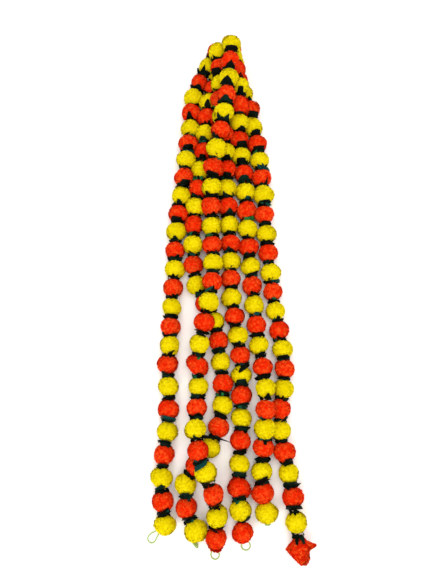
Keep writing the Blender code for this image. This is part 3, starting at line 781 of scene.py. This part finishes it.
# %% The large leaves that show
# Strand: gap, shift to the right in mm, half-width in mm, reach over the bloom before in mm (minus:
# over the one after), taper from 0 (torn square) to 1 (pointed), slew in degrees
LARGE_LEAVES = {
    1: [(2, 0, 9, 20, 1.0, 0), (2, 17, 15, 9, 0.2, 0), (3, 7, 16, 10, 0.8, 10),
        (5, -4, 11, 16, 0.8, 0), (7, 3, 17, 12, 0.3, -14), (9, 8, 15, 14, 0.2, -8),
        (10, -1, 8, 9, 0.4, 12), (11, 0, 16, 11, 0.1, 5), (16, 0, 19, 6, 0.2, 0),
        (17, 15, 10, 7, 0.3, 0), (18, 8, 13, 9, 0.4, -25), (19, -8, 12, 9, 0.4, 25),
        (21, 4, 20, 11, 0.1, 10), (22, -5, 18, 9, 0.3, -4), (23, 0, 15, 9, 0.4, 0),
        (24, -6, 14, 12, 0.3, -30), (25, 2, 16, 11, 0.3, -26)],
    2: [(3, 10, 8, 12, 0.5, 0), (4, -1, 14, 18, 0.9, 10), (6, -4, 13, 10, 0.4, 8),
        (7, 0, 11, 11, 0.2, 0), (16, -6, 17, 6, 0.2, 4), (17, -6, 16, 9, 0.4, -8),
        (18, -8, 18, 6, 0.3, 0), (19, 4, 17, 9, 0.3, 16), (20, -2, 21, 10, 0.3, 12),
        (22, -10, 15, 13, 0.4, -30), (24, 0, 11, 12, 0.1, 0), (25, 0, 20, 10, 0.2, 8)],
    3: [(1, 0, 19, 10, 0.15, -3), (2, 2, 15, 14, 1.0, 0), (3, -1, 23, 17, 1.0, 8),
        (4, 0, 19, 13, 0.8, 0), (5, -11, 10, 15, 1.0, 0), (5, 12, 11, 16, 1.0, 0),
        (6, -14, 9, 12, 0.6, 12), (8, 0, 21, 11, 0.3, 14), (9, -12, 11, 12, 0.7, 10),
        (16, 0, 20, 7, 0.2, 8), (17, -6, 10, 8, 0.5, 0), (18, 6, 12, 8, 0.5, 10),
        (20, 2, 15, 8, 0.7, -20), (22, -5, 19, -13, 0.1, -14), (23, -8, 15, 13, 0.3, 10),
        (24, 2, 18, 13, 0.3, -22), (25, 12, 17, 9, 0.3, -8)],
    4: [(2, -8, 18, 12, 0.3, 6), (7, 2, 14, 11, 0.4, -10), (8, 2, 14, 13, 0.3, 10),
        (9, -8, 8, 12, 0.9, 0), (10, 3, 14, 15, 1.0, 0), (16, -9, 17, 9, 0.3, 22),
        (17, -9, 9, 7, 0.4, 0), (18, 6, 20, -14, 0.3, -30), (19, -2, 15, 15, 0.2, -6),
        (20, -3, 21, 7, 0.2, -12), (21, 0, 20, 8, 0.3, 0), (22, 2, 19, 8, 0.4, -14),
        (23, 0, 18, 12, 0.15, 6), (24, 4, 15, 11, 0.5, -6), (25, 16, 9, 14, 0.3, 0)],
    5: [(4, 2, 10, 17, 0.3, 0), (6, 8, 14, 11, 0.6, 16), (7, 5, 16, 14, 0.1, -4),
        (8, -3, 16, 13, 0.3, 8), (9, -2, 20, 14, 0.6, 0), (10, 4, 7, 9, 0.3, 0),
        (18, 4, 11, 7, 0.6, 0), (20, 4, 9, 12, 0.8, 10), (23, 0, 14, 9, 0.3, -6),
        (24, -4, 20, 14, 0.2, -22)],
    6: [(4, 7, 17, 12, 0.2, 8), (5, 0, 14, 9, 0.3, -10), (6, 0, 20, 10, 0.2, 0),
        (8, 9, 5, 20, 1.0, 0), (9, 0, 20, 8, 0.3, -6), (15, 0, 7, 12, 0.9, 0),
        (17, -2, 17, 8, 0.3, -6), (18, -2, 15, 5, 0.2, 0), (22, 2, 14, 11, 0.4, -10),
        (23, -4, 21, 11, 0.2, 0), (24, -3, 22, 14, 0.2, 4), (25, -7, 6, -18, 0.5, 14),
        (25, 6, 6, -18, 0.5, -14)],
}

# Strand: places along a long thin leaf that sticks out
LONG_LEAVES = {3: [(-0.0861, -0.4662, 0.066), (-0.0546, -0.4692, 0.060), (-0.0281, -0.4746, 0.055),
                   (-0.0016, -0.4838, 0.052)]}
LONG_LEAF_HALF_WIDTH = 0.0043
print("large leaves:", sum(len(leaves) for leaves in LARGE_LEAVES.values()))
SHIFT_RADIUS = 0.020       # distance from the string at which a large leaf's shift is measured
# The teal of these leaves is a painted gleam
PAINTED_GLEAM_GAPS = {1: [21], 3: [22], 5: [10]}   # strand: gaps whose large leaf has a teal gleam
PAINTED_GLEAM_TINT, DARK_TINTS = 0.94, 0.9         # its tint, and the most that the other large leaves have


def large_leaves(strand, gap, growth, draw):
    """The large leaves of a strand, and the gap that each is in."""
    table = np.array(LARGE_LEAVES[strand], float)
    where = table[:, 0].astype(int) - 1
    shift, half, reach = table[:, 1:4].T / 1000
    leaves = shoulder_leaves(LARGE_CLEARANCE, gap[where], growth[where], shift / SHIFT_RADIUS,
                             half, reach, table[:, 4], np.radians(table[:, 5]), draw)
    return leaves, where


def long_leaf(strand):
    """A long thin leaf that sticks out of its collar: a spline through its places, with a
    half-width that falls with the power 1.5 of the share, from the collar to a point."""
    places = LONG_LEAVES[strand]
    share = np.linspace(0, 1, LEAF_ROWS)
    middle = spline(np.arange(len(places)), places, share * (len(places) - 1))
    side = unit(np.cross(np.gradient(middle, axis=0), (0.0, 0.0, 1.0)))
    half = LONG_LEAF_HALF_WIDTH * (1.05 - share ** 1.5)
    across = np.linspace(-1, 1, LEAF_COLUMNS)[:, None]
    return middle[:, None, :] + across * (half[:, None] * side)[:, None, :]


# %% All collars of a strand
def make_collars(strand):
    """One piece: the leaves in all 25 gaps of a strand."""
    centres, axes, between = STRANDS[strand]
    draw = np.random.default_rng([strand, 3])
    places = between[1:-1]
    ways = axes_along(axes[:-1, 0] + axes[1:, 0])
    gap = np.linalg.norm(np.diff(centres, axis=0), axis=1)
    growth = bloom_growth(places)
    count = len(places)
    local = np.concatenate([band_leaves(growth, draw), small_leaves(gap, growth, draw)], axis=1)
    for number in SPARSE_GAPS.get(strand, ()):
        local[number - 1] *= SPARSE_SHARE
    large, where = large_leaves(strand, gap, growth, draw)
    small = to_place(local.reshape(count, -1, 3), places, ways)
    large = to_place(large.reshape(len(where), -1, 3), places[where], ways[where])
    points = np.vstack([small.reshape(-1, 3), large.reshape(-1, 3)])
    if strand in LONG_LEAVES:
        points = np.vstack([long_leaf(strand).reshape(-1, 3), points])
    points = on_floor(points, low=0.0008, soft=0.0030, deepest=-0.003)
    leaves = len(points) // LEAF_POINTS
    tint = draw.uniform(0, 1, leaves)
    teal = np.isin(where + 1, PAINTED_GLEAM_GAPS.get(strand, []))
    tint[-len(where):] = np.where(teal, PAINTED_GLEAM_TINT, DARK_TINTS * tint[-len(where):])
    piece = make_piece(f"strand_{strand}_leaf_collars", points,
                       repeated(leaf_faces(), leaves, LEAF_POINTS),
                       {"tint": np.repeat(tint, LEAF_POINTS)}, LEAF_CLOTH,
                       runs_of(strand))
    cloth = piece.modifiers.new("cloth thickness", "SOLIDIFY")
    cloth.thickness = LEAF_CLOTH_THICKNESS
    cloth.offset = 0.0
    return piece


for strand_number in ROUTES:
    make_collars(strand_number)

# %% [markdown]
# ## String, end loops and tie
# The string is two yarns twisted together. A round tube whose radius rises and falls twice on the
# way round, with the pattern turning as it goes along, is that twist without modelling fibres. The
# loops at the loose ends are free, and each is a tube of its own whose length is printed. On strands
# 2
# and 5 the string's own end is tucked back between the legs of the loop, and a short thicker tube
# shows that. The tie is under the pile: a few turns of plain yarn round all six strings.

# %% Where the string goes
TIE_CENTRE = np.array([-0.001, 0.777, 0.0090])
TIE_RADIUS = 0.0066        # to the middle of the tie's yarn
TIE_WRAPS, TIE_PITCH = 3.4, 0.0022   # turns of the tie, and the step from each to the next
TIE_YARN_RADIUS = 0.0010
TIE_SLOT_RADIUS = 0.0035   # the six strings stand on this circle in the tie
TIE_SLOTS = {1: 210, 2: 270, 3: 90, 4: 150, 5: 30, 6: -30}   # degrees round it
TAIL, STRAIGHT = 0.010, 0.004        # string past the tie, and straight before it
STRING_RADIUS = 0.0013     # in the blooms
LOOP_RADIUS = 0.0016       # of the end loops
LAY = 0.009                # length of one full turn of the twist
LOOP_STEP, STRING_STEP, TUCKED_STEP = 0.0012, 0.0030, 0.0010   # spacing of a tube's rings

# From the tie to each strand's first bloom
TOP_ROUTES = {
    1: [(-0.024, 0.760, 0.018), (-0.038, 0.741, 0.036)],
    2: [(-0.008, 0.752, 0.009), (-0.018, 0.727, 0.017)],
    3: [(0.002, 0.756, 0.052), (0.003, 0.728, 0.092)],
    4: [(-0.012, 0.756, 0.036), (-0.029, 0.718, 0.074)],
    5: [(0.002, 0.764, 0.020), (0.005, 0.752, 0.031)],
    6: [(0.006, 0.754, 0.009), (0.016, 0.724, 0.020)],
}

# Out of each last bloom and back to it
END_LOOPS = {
    1: [(-0.1971, -0.7042, 0.0190), (-0.2040, -0.7097, 0.0125), (-0.2161, -0.7174, 0.0045),
        (-0.2239, -0.7264, 0.0018), (-0.2231, -0.7352, 0.0018), (-0.2145, -0.7408, 0.0018),
        (-0.2056, -0.7369, 0.0018), (-0.2009, -0.7282, 0.0035), (-0.1957, -0.7187, 0.0095),
        (-0.1904, -0.7104, 0.0165)],
    2: [(-0.1082, -0.7323, 0.0163), (-0.1031, -0.7391, 0.0156), (-0.0976, -0.7462, 0.0146),
        (-0.0943, -0.7497, 0.0128), (-0.0918, -0.7503, 0.0083), (-0.0916, -0.7478, 0.0038),
        (-0.0938, -0.7436, 0.0020), (-0.0995, -0.7366, 0.0036), (-0.1044, -0.7315, 0.0064)],
    3: [(-0.0521, -0.7521, 0.0190), (-0.0558, -0.7604, 0.0105), (-0.0574, -0.7692, 0.0032),
        (-0.0548, -0.7763, 0.0018), (-0.0469, -0.7804, 0.0018), (-0.0388, -0.7777, 0.0018),
        (-0.0353, -0.7701, 0.0032), (-0.0372, -0.7609, 0.0105), (-0.0414, -0.7526, 0.0190)],
    4: [(0.0272, -0.7334, 0.0200), (0.0233, -0.7409, 0.0115), (0.0231, -0.7499, 0.0032),
        (0.0276, -0.7563, 0.0018), (0.0355, -0.7584, 0.0018), (0.0434, -0.7548, 0.0018),
        (0.0463, -0.7476, 0.0035), (0.0441, -0.7390, 0.0115), (0.0392, -0.7322, 0.0200)],
    5: [(0.0862, -0.6846, 0.0133), (0.0862, -0.6876, 0.0126), (0.0862, -0.6900, 0.0108),
        (0.0862, -0.6932, 0.0069), (0.0882, -0.6962, 0.0033), (0.0929, -0.6975, 0.0018),
        (0.0976, -0.6962, 0.0033), (0.0996, -0.6932, 0.0069), (0.0996, -0.6900, 0.0108),
        (0.0996, -0.6876, 0.0126), (0.0996, -0.6846, 0.0133)],
}
print("end loops:", len(END_LOOPS))


# %% Tubes along a path
def even_path(points, spacing):
    """Points at even spacing along the spline through the given ones."""
    points = np.array(points, float)
    fine = spline(np.arange(len(points)), points, np.linspace(0, len(points) - 1, 60 * len(points)))
    lengths = np.r_[0.0, np.cumsum(np.linalg.norm(np.diff(fine, axis=0), axis=1))]
    marks = np.linspace(0, lengths[-1], max(2, round(lengths[-1] / spacing)) + 1)
    path = np.stack([np.interp(marks, lengths, fine[:, k]) for k in range(3)], axis=1)
    return path, lengths[-1]


def twisted_tube(path, radius, sides, level):
    """A closed tube round the path. Its radius is the string's, times 0.92 plus a tenth of the
    cosine of twice the angle less the twist so far. The side axis is the path's way crossed with
    level."""
    ways = unit(np.gradient(path, axis=0))
    side = unit(np.cross(ways, level))[:, None, :]
    up = np.cross(side, ways[:, None, :])
    turn = 2 * math.pi * np.arange(sides) / sides
    run = np.r_[0.0, np.cumsum(np.linalg.norm(np.diff(path, axis=0), axis=1))][:, None]
    ridge = np.cos(2 * (turn[None, :] - 2 * math.pi * run / LAY))
    reach = radius * (0.92 + 0.10 * ridge)
    out = np.cos(turn)[None, :, None] * side + np.sin(turn)[None, :, None] * up
    rings = path[:, None, :] + reach[..., None] * out
    points = np.vstack([rings.reshape(-1, 3), path[:1], path[-1:]])
    # depth is low in the grooves of the twist, where the string's colour paints shade
    depth = np.r_[(0.5 + 0.5 * ridge).ravel(), 0.5, 0.5]
    return points, closed_faces(len(path), sides), depth


def make_string(name, stands_for, path, radius, sides, level=(0.3, 0.2, 1.0)):
    """One piece of twisted cotton along that path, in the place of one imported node."""
    tube, faces, depth = twisted_tube(path, radius, sides, level)
    return make_piece(name, tube, faces, {"depth": depth}, STRING_COTTON,
                      [stands_for])


# %% The string's own ends, tucked into two of the loops
TUCKED_ENDS = {            # points along the end, and its radius
    2: ([(-0.1085, -0.7290, 0.0120), (-0.1038, -0.7348, 0.0104), (-0.0985, -0.7414, 0.0091),
         (-0.0936, -0.7476, 0.0082)], 0.0024),
    5: ([(0.0925, -0.6800, 0.0150), (0.0925, -0.6880, 0.0110), (0.0926, -0.6955, 0.0058)], 0.0042),
}


def tucked_end(strand):
    """The string's own end between the legs of its loop: a twisted tube whose radius is multiplied
    by the root of one less 0.9 times the sixth power of the share of the way, so that it ends
    round."""
    points, radius = TUCKED_ENDS[strand]
    path, length = even_path(points, TUCKED_STEP)
    share = np.linspace(0, 1, len(path))[:, None]
    print(f"tucked end {strand}: {1000 * length:.0f} mm")
    return make_string(f"strand_{strand}_tucked_end", f"strand_{strand}_end_loop", path,
                       radius * np.sqrt(1 - 0.9 * share ** 6), sides=12)


# %% End loops
for strand_number, loop_points in END_LOOPS.items():
    loop_path, loop_length = even_path(loop_points, LOOP_STEP)
    loop = make_string(f"strand_{strand_number}_loop", f"strand_{strand_number}_end_loop",
                       loop_path, LOOP_RADIUS, sides=10)
    [tucked_end(strand_number)] if strand_number in TUCKED_ENDS else []
    print(f"loop {strand_number}: {1000 * loop_length:.0f} mm of string")

# %% Strings through the blooms
for strand_number, (bloom_centres, bloom_axes, string_bends) in STRANDS.items():
    slot_turn = math.radians(TIE_SLOTS[strand_number])
    slot_way = np.array([math.cos(slot_turn), 0, math.sin(slot_turn)])
    in_tie = TIE_CENTRE + TIE_SLOT_RADIUS * slot_way
    way_in = [in_tie + (0, TAIL, 0), in_tie, in_tie - (0, STRAIGHT, 0),
              *TOP_ROUTES[strand_number]]
    stop = bloom_centres[-1] + 0.5 * BLOOM_HALF_LENGTH * bloom_axes[-1, 0]
    string_path, string_length = even_path([*way_in, *string_bends[:-1], stop], STRING_STEP)
    make_string(f"strand_{strand_number}_twisted_string", f"strand_{strand_number}_string",
                string_path, STRING_RADIUS, sides=8)
    print(f"string {strand_number}: {string_length:.2f} m long")

# %% The tie round the six strings
wraps = np.linspace(0, TIE_WRAPS, 120)
tie_path = TIE_CENTRE + np.stack([
    TIE_RADIUS * np.cos(2 * math.pi * wraps), TIE_PITCH * (wraps - TIE_WRAPS / 2),
    TIE_RADIUS * np.sin(2 * math.pi * wraps)], -1)
make_string("top_tie_wraps", "top_tie", tie_path, TIE_YARN_RADIUS, sides=8,
            level=(0.0, 1.0, 0.0))

# %% [markdown]
# ## Floor and light
# A pale plain floor and soft light from large lamps, as in a studio: a broad one overhead, and one
# from the side of the loose ends to open the shadows between the strands.

# %% Floor
bpy.ops.mesh.primitive_plane_add(size=12.0, location=(0.0, 0.0, 0.0))
floor = bpy.context.object
floor.name = "floor"
floor_material, _, floor_shader = new_material("pale_floor")
floor_shader.inputs["Base Color"].default_value = linear("#FCFCFA")
floor_shader.inputs["Roughness"].default_value = 0.9
floor.data.materials.append(floor_material)
floor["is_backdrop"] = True

# %% Lights
world = bpy.data.worlds.new("soft_room")
world.use_nodes = True
world.node_tree.nodes["Background"].inputs["Color"].default_value = (1.0, 1.0, 1.0, 1.0)
world.node_tree.nodes["Background"].inputs["Strength"].default_value = 0.92
bpy.context.scene.world = world
# Name, place, turn in degrees, watts, and width in metres
for lamp_name, place, turn, power, size in (
        ("overhead", (0.3, 0.2, 2.2), (0.0, 8.0, 0.0), 22.0, 1.6),
        ("front", (-0.6, -1.8, 1.6), (50.0, 0.0, -15.0), 17.0, 1.2)):
    lamp_data = bpy.data.lights.new(lamp_name, "AREA")
    lamp_data.energy = power
    lamp_data.size = size
    lamp = bpy.data.objects.new(lamp_name, lamp_data)
    lamp.location = place
    lamp.rotation_euler = [math.radians(a) for a in turn]
    bpy.context.scene.collection.objects.link(lamp)
bpy.context.scene.view_settings.view_transform = "Standard"
print("lights:", len(bpy.data.lights))

# %% [markdown]
# ## Check the size and finish
# The dressed garland's box is set beside the imported model's box, and how far each side moves is
# printed. The dressed garland has to stay in the imported model's box, give or take a few mm of
# petals.

# %% Print how far the box's sides move
new_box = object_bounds()
moved = [round(1000 * abs(new_box[i][k] - cad_box[i][k]), 1) for i in (0, 1) for k in range(3)]
print("sides of the box move by, mm:", moved)
